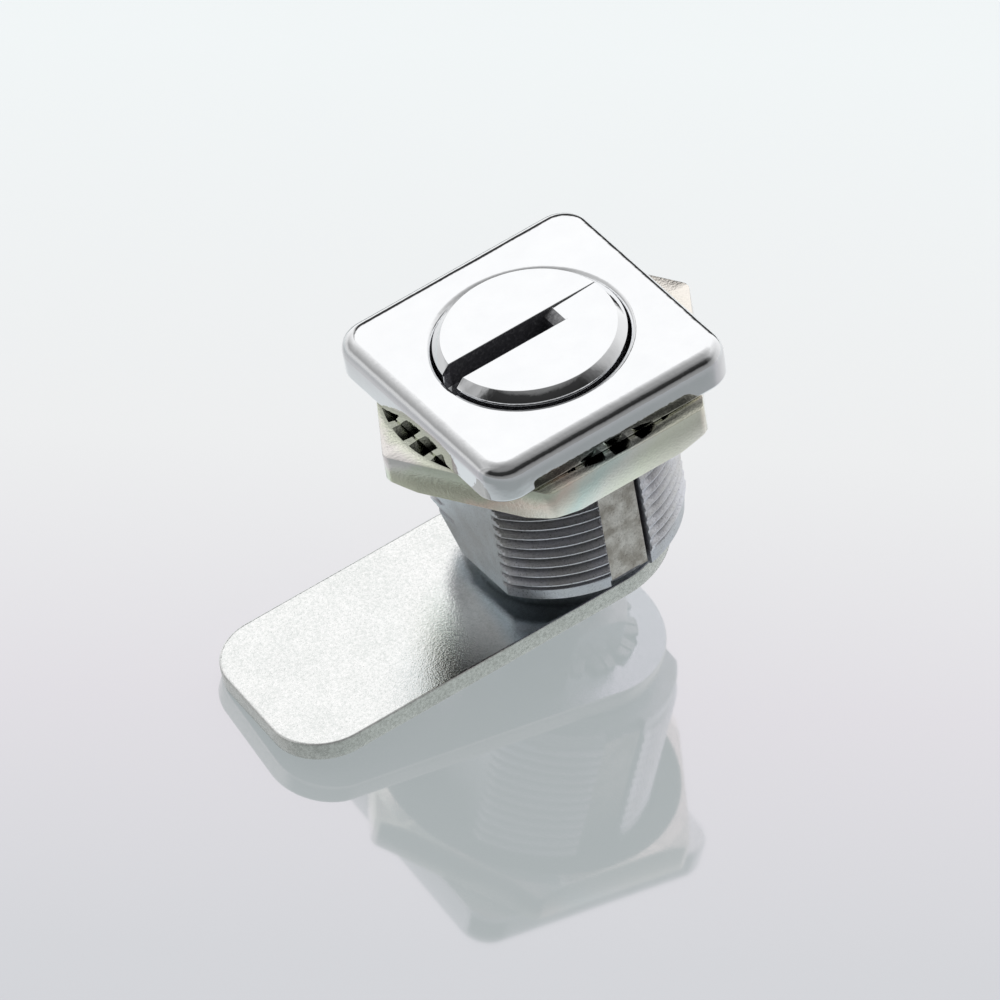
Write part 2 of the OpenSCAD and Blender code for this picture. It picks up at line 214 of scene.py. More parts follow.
def body():
    """The turned and milled body as a height field about the axis. Rows climb by one pitch for each
    turn, so the thread is a real helix: radius = crest - depth * clip((mouth - distance to the groove)
    / (mouth - root)), shallower beside the slits. Flats, lands, slits and the relief are the smallest
    of the radii of their planes x = const or y = const, which are const / cos or const / sin of the
    angle."""
    # columns crowd at the edges of flats, lands and slits; the second half turn repeats the first
    half = [0, 9, 18, 26.3, *np.linspace(26.6, 32.9, 26), *np.linspace(34.5, 79.2, 24),
            79.9, 80.0, 84, 90, 96, 99.7, 100.0, 100.06, 100.8, 101.9, 101.96,
            *np.linspace(102.7, 146.5, 24), *np.linspace(147.1, 153.4, 26), 153.7, 162, 171]
    start = 360 + RELIEF_START
    deg = np.unique(half + [180 + a for a in half] + [start, start + 0.06, LEAN_AT - 0.1, 360.0])
    # rows of one turn: along the groove, its flanks and the crest
    phase = np.array([0, 0.125, 0.2365, 0.348, 0.46, 0.5, 0.54, 0.652, 0.7635, 0.875])
    climb = (phase[None] + np.arange(-3, 16)[:, None]).ravel() * PITCH + FIRST_GROOVE
    z = climb[:, None] + PITCH * (deg[None] - THREAD_ANGLE) / 360
    z = np.clip(z, -BODY_LEN + END_BREAK, BODY_TOP)
    z = np.vstack([0 * z[:1] - BODY_LEN, z])
    deg = deg[None] + 0 * z

    # the last columns lean with the relief's slanted end: the one at LEAN_AT runs along its wall
    up = np.clip((z + BODY_LEN) / (RELIEF_TOP + BODY_LEN), 0, 1)
    slant = np.degrees(np.arctan(-(RELIEF_FOOT + RELIEF_SLANT * up) / FLAT_X))
    back = np.clip((z - RELIEF_TOP) / 1.5, 0, 1)
    lean = slant + (LEAN_AT - 360 - slant) * back * back * (3 - 2 * back)
    before = LEAN_FROM + (deg - LEAN_FROM) * (lean + (360 - LEAN_FROM)) / (LEAN_AT - LEAN_FROM)
    after = 360 + lean * (360 - deg) / (360 - LEAN_AT)
    deg = np.where(deg > LEAN_AT, after, np.where(deg > LEAN_FROM, before, deg))
    a = np.radians(deg)
    cos, sin = np.abs(np.cos(a)), np.abs(np.sin(a))

    # thread, with crests worn unevenly, and the plain band at the end
    turns = (z - FIRST_GROOVE) / PITCH - (deg - THREAD_ANGLE) / 360
    gap = np.abs(turns - np.round(turns)) * PITCH
    root, mouth = PITCH / 8, PITCH / 8 + THREAD_DEPTH * math.tan(math.radians(30))
    x = THREAD_MIDDLE * np.cos(a)
    beside = x * np.sign(np.sin(a))
    run_out = np.where(beside < 0, np.clip((-beside - SLIT_X) / RUN_OUT, 0.3, 1), 1)
    nick = np.sin(deg * 0.9 + 3 * np.round(z)) * np.sin(deg * 2.7 + 1.3) * np.sin(deg * 5.1 + np.round(turns))
    r = THREAD_R - THREAD_DEPTH * run_out * np.clip((mouth - gap) / (mouth - root), 0, 1)
    r = r - np.where(gap > mouth - CREST_EDGE, 0.02 + 0.03 * np.abs(nick), 0)
    r = np.where(z < FIRST_GROOVE, np.minimum(r, BAND_R), r)
    r = np.where(z < FIRST_GROOVE - root - 0.1, BAND_R, r)

    # lands with the recess below their ends, slits, flats and the relief
    land = np.where(z > LAND_END, LAND_Y / sin.clip(0.1), LAND_FOOT_R)
    r = np.where(np.abs(x) < LAND_HALF, land, r)
    r = np.where((beside < -LAND_HALF) & (beside > -SLIT_X), SLIT_Y / sin.clip(0.1), r)
    r = np.minimum(r, FLAT_X / cos.clip(0.1))
    relief = (z < RELIEF_TOP) & (deg > start + 0.03) & (deg < 360 + slant - 0.02)
    r = np.where(relief, np.minimum(r, RELIEF_R), r)
    r[0] -= END_BREAK
    bore = [polar(BORE_R, a[:1], level) for level in (BODY_TOP, -BODY_LEN)]
    return skin("threaded_body", [(np.concatenate([polar(r, a, z), *bore]), True, False)], 24)


# ---------------------------------------------------------------- rotor
DIAL_TOP, DIAL_R, FLANGE_R, DIAL_SEAT = 4.02, 6.65, 7.3, 0.65
SLOT_HALF, SLOT_FLOOR, SLOT_PAST, LIP, FILLET = 0.95, 1.82, 2.75, 0.04, 0.04
SLOPE, SLOPE_DROP, MARK_Z, MARK_RISE = 0.8, 0.46, 3.86, 0.11
BARREL_R, GROOVE_R, GROOVE_TOP, GROOVE_END, SCREW_BORE = 5.75, 4.26, -2, -4, 2.55
SHAFT_HALF, SHAFT_CORNER, SHAFT_TOP, SHAFT_END = 4, 5.55, -14.95, -17.65


def dial():
    """The dial in patches, for y above and below zero: a strip along the slot and its wall, the flat
    face between the slot's lip and a circle, the bevel with the side below it, and the rim under the
    slot's ends. The mark's floor rises evenly to the rim. At the slot's blind end the floor falls along
    z = mark - drop * (x + past) / slope and then drops straight to the slot's floor."""
    edge, cone_h, nearly = SLOT_HALF + LIP, FLANGE_R - DIAL_R, 0.01
    bevel, drop = np.array([(DIAL_R - 0.02, 0), (DIAL_R, 0.006), (DIAL_R + 0.02, 0.02), (DIAL_R + 0.3, 0.3),
                            (FLANGE_R - 0.05, cone_h - 0.05), (FLANGE_R, cone_h + 0.02)]).T
    first = math.asin(edge / bevel[0])
    key = np.array([-SLOT_PAST - 0.03, -SLOT_PAST, -SLOT_PAST + SLOPE, -SLOT_PAST + SLOPE + 0.04])
    th = np.unique(np.concatenate([np.linspace(first, math.pi - first, 121), np.arccos(key / bevel[0])]))
    share = (th - first) / (math.pi - 2 * first)

    # strip: rows run from the slot's middle up its wall, columns from the rim at +X to the rim at -X;
    # below is a row's depth in the lip, or one of two marks for the rows on the floor
    on_floor, at_wall = 9, 8
    lip = np.array(arc((edge, DIAL_TOP - LIP), LIP, 180, 90, 5))
    y = np.concatenate([[0, SLOT_HALF - 0.08, SLOT_HALF], lip[:, 0]])[:, None]
    below = np.concatenate([[on_floor, on_floor, at_wall], DIAL_TOP - lip[:, 1]])[:, None]
    ext = np.sqrt(bevel[None, ::-1] ** 2 - y ** 2)
    x = np.hstack([ext, bevel[0] * np.cos(th[1:-1])[None] + 0 * y, -ext[:, ::-1]])
    top = DIAL_TOP - np.concatenate([drop[::-1], 0 * th[1:-1], drop])[None] + 0 * y

    def strip(side):
        """Floor, wall and lip on one side of the slot. The mark has no fillet, and no lip at +Y."""
        mark = MARK_Z + MARK_RISE * np.clip((-x - SLOT_PAST) / (DIAL_R - SLOT_PAST), 0, 1)
        slope = MARK_Z - SLOPE_DROP * (x + SLOT_PAST) / SLOPE
        base = np.where(x < SLOPE - SLOT_PAST + 2 * nearly, slope, SLOT_FLOOR)
        base = np.where(x < -SLOT_PAST, mark, base)
        fillet = (below == at_wall) & (x > -SLOT_PAST - nearly)
        base = np.minimum(base + np.where(fillet, FILLET, 0), top)
        round_off = np.where((side > 0) & (x < -SLOT_PAST - nearly), 0, below)
        return at(x, y, np.where(below >= at_wall, base, np.maximum(top - round_off, base)))

    face = np.array([0, 0.006, 0.03, 0.35, 0.65, 0.97, 0.994, 1])[:, None, None]
    line, rim = at(bevel[0] * np.cos(th), edge, DIAL_TOP), polar(bevel[0], th, DIAL_TOP)
    face = line[None] + (rim - line)[None] * face

    begin = np.arcsin(edge / bevel)[:, None]
    turn = begin + share[None] * (math.pi - 2 * begin)
    cone = polar(bevel[:, None], turn, DIAL_TOP - drop[:, None])
    side = [polar(FLANGE_R, turn[-1], DIAL_SEAT), polar(0, turn[-1], DIAL_SEAT)]
    cone = np.concatenate([cone, np.stack(side)])

    patches = []
    for way in (1, -1):
        band = strip(way)
        half = [band, face, cone]
        for column in (0, -1):
            lower, axis = band[:, column].copy(), band[:, column].copy()
            lower[:, 2] = axis[:, 2] = DIAL_SEAT
            axis[:, :2] = 0
            half.append(np.stack([band[:, column], lower, axis]))
        patches += [(p * np.array([1, way, 1]), False, False) for p in half]
    return skin("dial", patches, 28)


def barrel():
    """The rotor below its dial: a turned barrel with the seal's groove, then the milled square round
    the screw's bore."""
    corners = [45 + quarter + s for quarter in (0, 90, 180, 270) for s in (-1, 1)]
    angle = np.unique(np.concatenate([np.linspace(0, 2 * math.pi, 97)[:-1], np.radians(corners)]))
    square, top = squared(SHAFT_HALF, SHAFT_CORNER, angle), DIAL_SEAT - 0.05
    rows = [(BARREL_R, top), (BARREL_R, GROOVE_TOP), (GROOVE_R, GROOVE_TOP), (GROOVE_R, GROOVE_END),
            (BARREL_R, GROOVE_END), (BARREL_R, SHAFT_TOP), (square, SHAFT_TOP), (square, SHAFT_END + 0.1),
            (square - 0.1, SHAFT_END), (SCREW_BORE, SHAFT_END), (SCREW_BORE, top)]
    return skin("rotor_barrel", [(rings(rows, angle), True, True)])


# ---------------------------------------------------------------- nut
NUT_AF, NUT_CUT, NUT_TOP, NUT_BOTTOM, NUT_BORE = 24.0, 0.6, -0.05, -3.05, 9.55
TEETH, TOOTH_DEPTH, NOTCH_HALF, NOTCH_OUT, FACE_R = 30, 0.75, 0.8, 11.75, 11.9


def nut():
    """Hexagon nut. Each notch is a V of constant width: height = bottom + depth * |t| / half width, with
    t across the notch, so a column's angle is the notch's own plus asin(t / radius). The lower corners
    are cut by a 30 degree cone."""
    t = np.array([NOTCH_HALF + 0.07, NOTCH_HALF, NOTCH_HALF - 0.08, 0.3])
    t = np.concatenate([-t, [0], t[::-1]])
    v = TOOTH_DEPTH * np.array([0, 0.08, 0.16, 0.64, 1, 0.64, 0.16, 0.08, 0])
    rib = np.radians([5.1, 6, 6.9])
    mid = np.radians((np.arange(TEETH) + 0.5) * 360 / TEETH)
    mid = np.repeat(mid, len(t) + len(rib))
    across = np.tile(np.concatenate([t, 0 * rib]), TEETH)
    add_on = np.tile(np.concatenate([0 * t, rib]), TEETH)
    depth = np.tile(np.concatenate([v, 0 * rib]), TEETH)

    def angle(r):
        """Angles of all columns at one radius."""
        return mid + add_on + np.arcsin(across / r)

    edge = angle(FACE_R)
    wall = hexagon(NUT_AF, edge, 0.14)
    foot, low = chamfer(NUT_AF, NUT_CUT, wall, NUT_BOTTOM)
    rows = [(NUT_BORE, NUT_BOTTOM + 0.3), (NUT_BORE, NUT_TOP - 0.9),
            (NUT_BORE, np.minimum(NUT_TOP - 0.35, NUT_TOP - depth))]
    rows += [(r, NUT_TOP - depth) for r in (NUT_BORE + 0.3, 10.1, 10.6, 11.1, 11.5, NOTCH_OUT - 0.04)]
    rows = [polar(r, angle(r), z) for r, z in rows + [(NOTCH_OUT, NUT_TOP)]]
    rows += [polar(wall - inset, edge, z) for inset, z in
             [(0.1, NUT_TOP), (0.03, NUT_TOP - 0.03), (0, NUT_TOP - 0.1), (0, NUT_TOP - 1),
              (0, low + 0.12), (0.04, low + 0.02), (0.14, np.maximum(low - 0.05, NUT_BOTTOM))]]
    rows += [polar(np.minimum(wall - 0.2, foot - 0.05), edge, NUT_BOTTOM),
             polar(NUT_BORE + 0.4, angle(NUT_BORE), NUT_BOTTOM)]
    return skin("toothed_nut", [(np.stack(rows), True, True)], 26)


# ---------------------------------------------------------------- cam and washers
CAM_HALF, CAM_REACH, CAM_CORNER, CAM_SLANT = 7.8, 28.4, 4.4, math.radians(4)
CAM_TOP, CAM_BOTTOM, HOLE_HALF, HOLE_CORNER = -16.15, -17.75, 4.05, 5.5
DISC_R, TAB_TURN, TAB_HALF, TAB_SOFT, TAB_END = 7.2, math.radians(-122), 1.1, 0.1, -13.1
WASHER_R, WASHER_T, WASHER_TEETH, WASHER_TWIST = 5.5, 0.6, 12, 0.1
SCREW_AF, SCREW_CUT, SCREW_HEAD, SHANK_R, SHANK_UP = 8, 0.35, 2.9, 2.45, 9.6


def plate(outline, middle, profile):
    """Flat plate with the shaft's square hole: outer rings are the outline moved inwards, and inner
    rings lie at the same polar angles. profile is (inset, height) from top to bottom; middle has the
    shares of the way from the hole to the edge at which the upper face gets more rings."""
    centre, radius, turn = outline
    out = np.stack([np.cos(turn), np.sin(turn)], -1)
    outer = [at(*(centre + (radius - inset)[:, None] * out).T, z) for inset, z in profile]
    angle = np.arctan2(outer[0][:, 1], outer[0][:, 0])
    inner = squared(HOLE_HALF, HOLE_CORNER, angle)
    top, bottom = profile[0][1], profile[-1][1]
    rows = [polar(inner, angle, bottom + 0.08), polar(inner, angle, top - 0.08), polar(inner + 0.08, angle, top)]
    rows += [rows[-1] + (outer[0] - rows[-1]) * t for t in middle]
    rows += outer + [polar(inner + 0.08, angle, bottom)]
    return np.stack(rows)


def cam():
    """Punched cam: a half circle about the axis and two corner circles, joined by straight lines. The
    upper edge is drawn in by the punch, the lower one is broken off nearly sharp."""
    corner_y = CAM_HALF - CAM_CORNER
    corner_x = CAM_REACH - CAM_CORNER / math.cos(CAM_SLANT)
    lean = corner_y * math.tan(CAM_SLANT)
    centre, radius, turn = [], [], []
    for c, r, a, b, n in [((corner_x - lean, -corner_y), CAM_CORNER, -90, -4, 30),
                          ((corner_x + lean, corner_y), CAM_CORNER, -4, 90, 32),
                          ((0, 0), CAM_HALF, 90, 270, 73)]:
        centre.append(np.tile(c, (n, 1)))
        radius.append(np.full(n, r))
        turn.append(np.radians(np.linspace(a, b, n)))
    outline = np.concatenate(centre), np.concatenate(radius), np.concatenate(turn)
    profile = [(0.14, CAM_TOP), (0.07, CAM_TOP - 0.015), (0.02, CAM_TOP - 0.05), (0, CAM_TOP - 0.12),
               (0, CAM_TOP - 0.3), (0.02, CAM_BOTTOM + 0.5), (0.04, CAM_BOTTOM + 0.1), (0.1, CAM_BOTTOM)]
    return skin("punched_cam", [(plate(outline, (0.01, 0.3, 0.6, 0.9, 0.996), profile), True, True)], 30)


def stop_washer():
    """Disc and bent tab. The tab is a strip whose corner lines follow an L: straight out from the
    disc, round a bend, then up beside the body."""
    top, bottom = SHAFT_TOP, CAM_TOP
    turn = np.radians(np.linspace(0, 360, 121)[:-1])
    outline = np.zeros((len(turn), 2)), np.full(len(turn), DISC_R), turn
    profile = [(0.2, top), (0.06, top - 0.05), (0, top - 0.2), (0, bottom + 0.1), (0.08, bottom)]
    disc = plate(outline, (0.5,), profile)
    inner = np.array([(6.6, top)] + arc((7.75, top + 0.25), 0.25, -90, 0, 5) + [(8.0, TAB_END)])
    outer = np.array([(6.6, bottom)] + arc((8.35, bottom + 0.8), 0.8, -90, 0, 5) + [(9.14, TAB_END)])
    width, soft = TAB_HALF, TAB_SOFT
    cos, sin = math.cos(TAB_TURN), math.sin(TAB_TURN)
    lines = []
    for t, w in [(0, -width + soft), (soft, -width), (1 - soft, -width), (1, -width + soft),
                 (1, width - soft), (1 - soft, width), (soft, width), (0, width - soft)]:
        p = inner + (outer - inner) * t
        lines.append(at(p[:, 0] * cos - w * sin, p[:, 0] * sin + w * cos, p[:, 1]))
    lines = np.stack(lines, 1)
    caps = [(np.stack([lines[i], np.tile(lines[i].mean(0), (8, 1))]), False, True) for i in (0, -1)]
    return skin("stop_washer_piece", [(disc, True, True), (lines, False, True), *caps], 30)


def lock_washer():
    """Toothed washer: the rim's radius dips between teeth, and each tooth is twisted out of the flat."""
    angle = np.radians(np.linspace(0, 360, 241)[:-1])
    wave = (np.degrees(angle) * WASHER_TEETH / 360 + 0.5) % 1 * 2 - 1
    rim = WASHER_R - 1.1 * np.clip(1 - np.abs(wave + (wave < 0) - (wave > 0)) * 2.6, 0, 1)
    twist = WASHER_TWIST * np.sin(angle * WASHER_TEETH)
    top, bottom = CAM_BOTTOM, CAM_BOTTOM - WASHER_T
    rows = [(2.6, bottom + 0.05), (2.6, top - 0.05), (2.7, top), (rim - 1, top - 0.02),
            (rim - 0.06, top - 0.12 + twist), (rim, top - 0.17 + twist), (rim, bottom + 0.17 + twist),
            (rim - 0.06, bottom + 0.12 + twist), (rim - 1, bottom + 0.02), (2.7, bottom)]
    return skin("toothed_washer", [(rings(rows, angle), True, True)], 30)


def screw():
    """Hexagon screw: a shank closed at the axis, then the head, whose free end has a 30 degree chamfer
    and a shallow dish."""
    corners = np.arange(6) * 60
    angle = np.concatenate([np.linspace(0, 360, 73)[:-1], (corners + 1.2) % 360, (corners - 1.2) % 360])
    angle = np.radians(np.unique(angle))
    wall = hexagon(SCREW_AF, angle, 0.06)
    top = CAM_BOTTOM - WASHER_T
    bottom = top - SCREW_HEAD
    foot, low = chamfer(SCREW_AF, SCREW_CUT, wall, bottom)
    rows = [(0, top + SHANK_UP), (SHANK_R - 0.35, top + SHANK_UP), (SHANK_R, top + SHANK_UP - 0.4),
            (SHANK_R, top), (wall - 0.08, top), (wall, top - 0.08), (wall, low + 0.06), (wall - 0.05, low),
            (np.minimum(wall, foot) - 0.1, bottom), (2.6, bottom), (2.3, bottom + 0.15), (0, bottom + 0.2)]
    return skin("hexagon_screw", [(rings(rows, angle), False, True)], 26)


# ---------------------------------------------------------------- materials
def from_hex(code):
    """An sRGB hex colour as linear red, green, blue, alpha."""
    v = np.array([int(code[i:i + 2], 16) for i in (1, 3, 5)]) / 255
    lin = np.where(v <= 0.04045, v / 12.92, ((v + 0.055) / 1.055) ** 2.4)
    return (*lin.tolist(), 1.0)


def add(tree, kind, links=(), stops=(), **settings):
    """Adds a node: settings are its properties or, by socket name, its inputs; links feed its inputs by
    name or number; stops are a ramp's (place, colour)."""
    node = tree.nodes.new(kind)
    node.location = (220 * (len(tree.nodes) % 8), -260 * (len(tree.nodes) // 8))
    for key, value in settings.items():
        if hasattr(node, key):
            setattr(node, key, value)
        else:
            node.inputs[key.replace("_", " ")].default_value = value
    for i, (place, colour) in enumerate(stops):
        ramp = node.color_ramp.elements
        stop = ramp[0] if i == 0 else ramp[-1] if i == len(stops) - 1 else ramp.new(place)
        stop.position = place
        stop.color = from_hex(colour) if isinstance(colour, str) else (colour, colour, colour, 1)
    for name, source in links:
        tree.links.new(source, node.inputs[name])
    return node


def finish(name, metallic, roughness, **fixed):
    """A material with its Principled shader; fixed values go on the shader's own sockets."""
    material = bpy.data.materials.new(name)
    material.use_nodes = True
    tree = material.node_tree
    shader = tree.nodes["Principled BSDF"]
    shader.inputs["Metallic"].default_value = metallic
    shader.inputs["Roughness"].default_value = roughness
    for key, value in fixed.items():
        shader.inputs[key.replace("_", " ")].default_value = value
    place = add(tree, "ShaderNodeTexCoord").outputs["Object"]
    return material, tree, shader, place


def feed(tree, shader, colour, bump, rough=None):
    """Links the shader's colour, normal and roughness."""
    tree.links.new(colour, shader.inputs["Base Color"])
    tree.links.new(bump.outputs["Normal"], shader.inputs["Normal"])
    if rough:
        tree.links.new(rough.outputs["Result"], shader.inputs["Roughness"])


def tinted(tree, colour, by):
    """Product of two colours."""
    mix = add(tree, "ShaderNodeMix", data_type="RGBA", blend_type="MULTIPLY", Factor=1.0)
    tree.links.new(colour, mix.inputs[6])
    tree.links.new(by, mix.inputs[7])
    return mix.outputs[2]


def from_axis(tree, place):
    """Distance to the lock's axis in metres."""
    flat = add(tree, "ShaderNodeMapping", [("Vector", place)], Scale=(1, 1, 0))
    return add(tree, "ShaderNodeVectorMath", [(0, flat.outputs["Vector"])], operation="LENGTH").outputs["Value"]


def per_mm(size):
    """Texture scale at which one cell of a noise is about size millimetres in a scene in metres."""
    return 1 / (size * MM)


def polished_chrome():
    """Chrome over a polished zinc casting: a mirror with a cold tint, faint orange peel about 2 mm across
    and hairline polishing marks that only roughen it a little."""
    m, tree, shader, place = finish("polished_chrome", 1.0, 0.04)
    peel = add(tree, "ShaderNodeTexNoise", [("Vector", place)], Scale=per_mm(2.2), Detail=3.0, Roughness=0.55)
    grain = add(tree, "ShaderNodeTexNoise", [("Vector", place)], Scale=per_mm(0.18), Detail=2.0)
    tint = add(tree, "ShaderNodeValToRGB", [("Fac", peel.outputs["Fac"])], stops=[(0, "#F0F1F3"), (1, "#F8F9FA")])
    rough = add(tree, "ShaderNodeMapRange", [("Value", grain.outputs["Fac"])], To_Min=0.02, To_Max=0.07)
    low = add(tree, "ShaderNodeBump", [("Height", peel.outputs["Fac"])], Strength=0.10, Distance=0.0004)
    fine = add(tree, "ShaderNodeBump", [("Height", grain.outputs["Fac"]), ("Normal", low.outputs["Normal"])],
               Strength=0.05, Distance=0.00005)
    feed(tree, shader, tint.outputs["Color"], fine, rough)
    return m


def groove_shade_finish():
    """Painted shade for the dial's slot, the body's slits with the recesses below the lands, and the head's
    pocket: grey tool marks darkened to stand for their shade, with a few bright flecks of metal.
    """
    m, tree, shader, place = finish("painted_groove_shade", 0.4, 0.45)
    dust = add(tree, "ShaderNodeTexNoise", [("Vector", place)], Scale=per_mm(0.25), Detail=3.0, Roughness=0.6)
    tint = add(tree, "ShaderNodeValToRGB", [("Fac", dust.outputs["Fac"])],
               stops=[(0, "#5A5A5F"), (0.5, "#78787E"), (0.66, "#9A9A9E"), (1, "#F0F0F2")])
    bump = add(tree, "ShaderNodeBump", [("Height", dust.outputs["Fac"])], Strength=0.4, Distance=0.0001)
    feed(tree, shader, tint.outputs["Color"], bump)
    return m


def cast_chrome(name, patch, tints, root_shade_level=1.0):
    """The same plating where the casting was not polished: satin, with a grain of 0.16 mm, cloudy patches
    of warmer and bluer grey whose size in mm is patch, and pits that stay dark. root_shade_level is painted
    shade in the thread's grooves: the colour falls to it at 8.98 mm from the axis and below, a ramp up to 9.36 mm."""
    m, tree, shader, place = finish(name, 1.0, 0.3)
    cloud = add(tree, "ShaderNodeTexNoise", [("Vector", place)], Scale=per_mm(patch), Detail=5.0, Roughness=0.6)
    grain = add(tree, "ShaderNodeTexNoise", [("Vector", place)], Scale=per_mm(0.16), Detail=3.0, Roughness=0.7)
    tint = add(tree, "ShaderNodeValToRGB", [("Fac", cloud.outputs["Fac"])],
               stops=list(zip((0, 0.4, 0.6, 1), tints)))
    speck = add(tree, "ShaderNodeValToRGB", [("Fac", grain.outputs["Fac"])],
                stops=[(0, 0.55), (0.36, 0.8), (0.5, 1.0), (1, 1.0)])
    # painted shade: darker nearer the axis, in the thread's grooves and everything deeper
    root_shade = add(tree, "ShaderNodeMapRange", [("Value", from_axis(tree, place))],
               From_Min=8.98 * MM, From_Max=9.36 * MM, To_Min=root_shade_level)
    grain_and_root_shade = add(tree, "ShaderNodeMath", [(0, speck.outputs["Color"]), (1, root_shade.outputs["Result"])],
               operation="MULTIPLY")
    colour = tinted(tree, tint.outputs["Color"], grain_and_root_shade.outputs[0])
    rough = add(tree, "ShaderNodeMapRange", [("Value", grain.outputs["Fac"])], To_Min=0.2, To_Max=0.42)
    bump = add(tree, "ShaderNodeBump", [("Height", grain.outputs["Fac"])], Strength=0.35, Distance=0.00012)
    feed(tree, shader, colour, bump, rough)
    return m


def yellow_zinc():
    """Yellow passivated zinc plate: a thin film whose interference tint runs across the nut from straw
    and olive to rose and turquoise, leaning with the height and wobbled by a 5 mm noise, on a slightly
    grainy rolled surface. Painted shade darkens the notches from 0.16 mm below the face down."""
    m, tree, shader, place = finish("yellow_zinc", 1.0, 0.34)
    drift = add(tree, "ShaderNodeTexNoise", [("Vector", place)], Scale=per_mm(5.0), Detail=4.0, Roughness=0.6)
    grain = add(tree, "ShaderNodeTexNoise", [("Vector", place)], Scale=per_mm(0.2), Detail=3.0, Roughness=0.65)
    sway = add(tree, "ShaderNodeMapRange", [("Value", drift.outputs["Fac"])], From_Min=0.2, From_Max=0.8,
               To_Min=-4.5 * MM, To_Max=0.5 * MM)
    slant = add(tree, "ShaderNodeVectorMath", [(0, place)], operation="DOT_PRODUCT")
    slant.inputs[1].default_value = (1, 0, 1.5)
    film = add(tree, "ShaderNodeMath", [(0, slant.outputs["Value"]), (1, sway.outputs["Result"])], operation="ADD")
    film = add(tree, "ShaderNodeMapRange", [("Value", film.outputs[0])], From_Min=-14 * MM, From_Max=14 * MM)
    tint = add(tree, "ShaderNodeValToRGB", [("Fac", film.outputs["Result"])],
               stops=[(0, "#F6F0E8"), (0.16, "#F4F1E2"), (0.28, "#FCFDEA"), (0.39, "#FFFFF6"),
                      (0.475, "#EAF9F2"), (0.55, "#F6F4E8"), (0.63, "#F6E6D8"), (0.69, "#E2E5D2"),
                      (0.77, "#ECF1DC"), (0.83, "#F2F5E4"), (0.875, "#FFFAF6"), (1, "#FFFDFC")])
    speck = add(tree, "ShaderNodeValToRGB", [("Fac", grain.outputs["Fac"])],
                stops=[(0, 0.72), (0.4, 0.97), (0.5, 1.0), (1, 1.0)])
    # painted shade in the notches: darker with depth below the face, none from NOTCH_OUT outwards
    level = add(tree, "ShaderNodeSeparateXYZ", [(0, place)])
    notch = add(tree, "ShaderNodeMapRange", [("Value", level.outputs["Z"])],
                From_Min=-0.62 * MM, From_Max=-0.16 * MM, To_Min=0.04)
    outside = add(tree, "ShaderNodeMapRange", [("Value", from_axis(tree, place))],
                  From_Min=(NOTCH_OUT - 0.02) * MM, From_Max=NOTCH_OUT * MM)
    unshaded = add(tree, "ShaderNodeMath", [(0, notch.outputs["Result"]), (1, outside.outputs["Result"])],
                operation="MAXIMUM")
    notch_shade = add(tree, "ShaderNodeMath", [(0, unshaded.outputs[0]), (1, speck.outputs["Color"])], operation="MULTIPLY")
    colour = tinted(tree, tint.outputs["Color"], notch_shade.outputs[0])
    rough = add(tree, "ShaderNodeMapRange", [("Value", grain.outputs["Fac"])], To_Min=0.06, To_Max=0.17)
    bump = add(tree, "ShaderNodeBump", [("Height", grain.outputs["Fac"])], Strength=0.25, Distance=0.0001)
    feed(tree, shader, colour, bump, rough)
    return m


def satin_zinc(name, dark, light, low, high, body_shade="#FFFFFF"):
    """Bright zinc plate on rolled steel: satin, with crystalline grain of 0.14 and 0.3 mm and faint
    clouds some 4 mm across. dark and light bound its tint, low and high its roughness. body_shade is
    painted shade, bluish, on the strip beside the body's flat where the body shades the plate: a ramp over x -
    0.18 y times one over y."""
    m, tree, shader, place = finish(name, 1.0, low)
    speck = add(tree, "ShaderNodeTexNoise", [("Vector", place)], Scale=per_mm(0.14), Detail=2.0, Roughness=0.7)
    grain = add(tree, "ShaderNodeTexNoise", [("Vector", place)], Scale=per_mm(0.3), Detail=3.0, Roughness=0.7)
    cloud = add(tree, "ShaderNodeTexNoise", [("Vector", place)], Scale=per_mm(4.0), Detail=4.0)
    both = add(tree, "ShaderNodeMath", [(0, grain.outputs["Fac"]), (1, speck.outputs["Fac"])], operation="ADD")
    all3 = add(tree, "ShaderNodeMath", [(0, cloud.outputs["Fac"]), (2, both.outputs[0])],
               operation="MULTIPLY_ADD")
    all3.inputs[1].default_value = 0.35
    tint = add(tree, "ShaderNodeMapRange", [("Value", all3.outputs[0])], From_Min=0.95, From_Max=1.35)
    ramp = add(tree, "ShaderNodeValToRGB", [("Fac", tint.outputs["Result"])], stops=[(0, dark), (1, light)])
    rough = add(tree, "ShaderNodeMapRange", [("Value", speck.outputs["Fac"])], To_Min=low, To_Max=high)
    bump = add(tree, "ShaderNodeBump", [("Height", speck.outputs["Fac"])], Strength=0.13, Distance=0.0001)
    # painted shade on the plate beside the body's flat, fading out below y = -3.6 mm
    across = add(tree, "ShaderNodeVectorMath", [(0, place)], operation="DOT_PRODUCT")
    across.inputs[1].default_value = (1, -0.18, 0)
    beside = add(tree, "ShaderNodeMapRange", [("Value", across.outputs["Value"])], interpolation_type="SMOOTHSTEP",
                 From_Min=8.1 * MM, From_Max=9.4 * MM, To_Min=1.0, To_Max=0.0)
    axes = add(tree, "ShaderNodeSeparateXYZ", [(0, place)])
    behind = add(tree, "ShaderNodeMapRange", [("Value", axes.outputs["Y"])], interpolation_type="SMOOTHSTEP",
                 From_Min=-3.6 * MM, From_Max=-0.5 * MM)
    shade_beside_body = add(tree, "ShaderNodeMath", [(0, beside.outputs["Result"]), (1, behind.outputs["Result"])],
              operation="MULTIPLY")
    film = add(tree, "ShaderNodeValToRGB", [("Fac", shade_beside_body.outputs[0])], stops=[(0, "#FFFFFF"), (1, body_shade)])
    feed(tree, shader, tinted(tree, ramp.outputs["Color"], film.outputs["Color"]), bump, rough)
    return m


